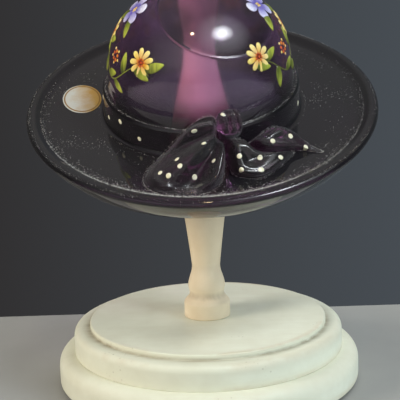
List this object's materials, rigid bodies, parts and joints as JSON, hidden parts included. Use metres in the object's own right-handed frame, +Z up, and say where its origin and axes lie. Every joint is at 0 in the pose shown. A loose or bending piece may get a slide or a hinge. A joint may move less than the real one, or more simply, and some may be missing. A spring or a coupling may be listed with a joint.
{
  "type": "glass hat on a display stand",
  "caption": "Dark amethyst glass hat with a ribbon band, folded bow and rolled brim, painted with small flowers and dots, tipped forward on a cream-painted turned wooden stand.",
  "frame": {"origin": "middle of the stand's underside, on the table", "axes": "+Z up along the post, -Y towards the front of the hat where the bow is, +X to the viewer's right"},
  "size_m": [0.2239, 0.2101, 0.2583],
  "materials": {
    "base_felt": "matte felt",
    "cream_paint": "satin cream paint on turned wood",
    "bare_wood": "bare sanded wood",
    "zinc_steel": "bright zinc plate",
    "pad_felt": "matte felt",
    "amethyst_glass": "polished dark amethyst glass",
    "foil_label": "satin foil-faced paper"
  },
  "bodies": {
    "stand": {"base_felt": "base_felt", "lower_plinth": "cream_paint", "upper_plinth": "cream_paint", "plinth_dowels": "bare_wood", "base_screw": "zinc_steel", "screw_washer": "zinc_steel", "post": "cream_paint"},
    "pad": {"felt_pad": "pad_felt"},
    "hat": {"glass_hat": "amethyst_glass", "bow_left_loop": "amethyst_glass", "bow_right_loop": "amethyst_glass", "bow_tail": "amethyst_glass", "bow_knot": "amethyst_glass", "paper_label": "foil_label"}
  },
  "joints": [
    {"name": "hat_turn", "type": "hinge", "parent": "stand", "child": "pad", "pos_m": [0, 0, 0.25], "axis": [0, 0, 1], "continuous": true},
    {"name": "hat_lift", "type": "slide", "parent": "pad", "child": "hat", "axis": [0, 0, 1], "range_m": [0, 0.15]}
  ]
}
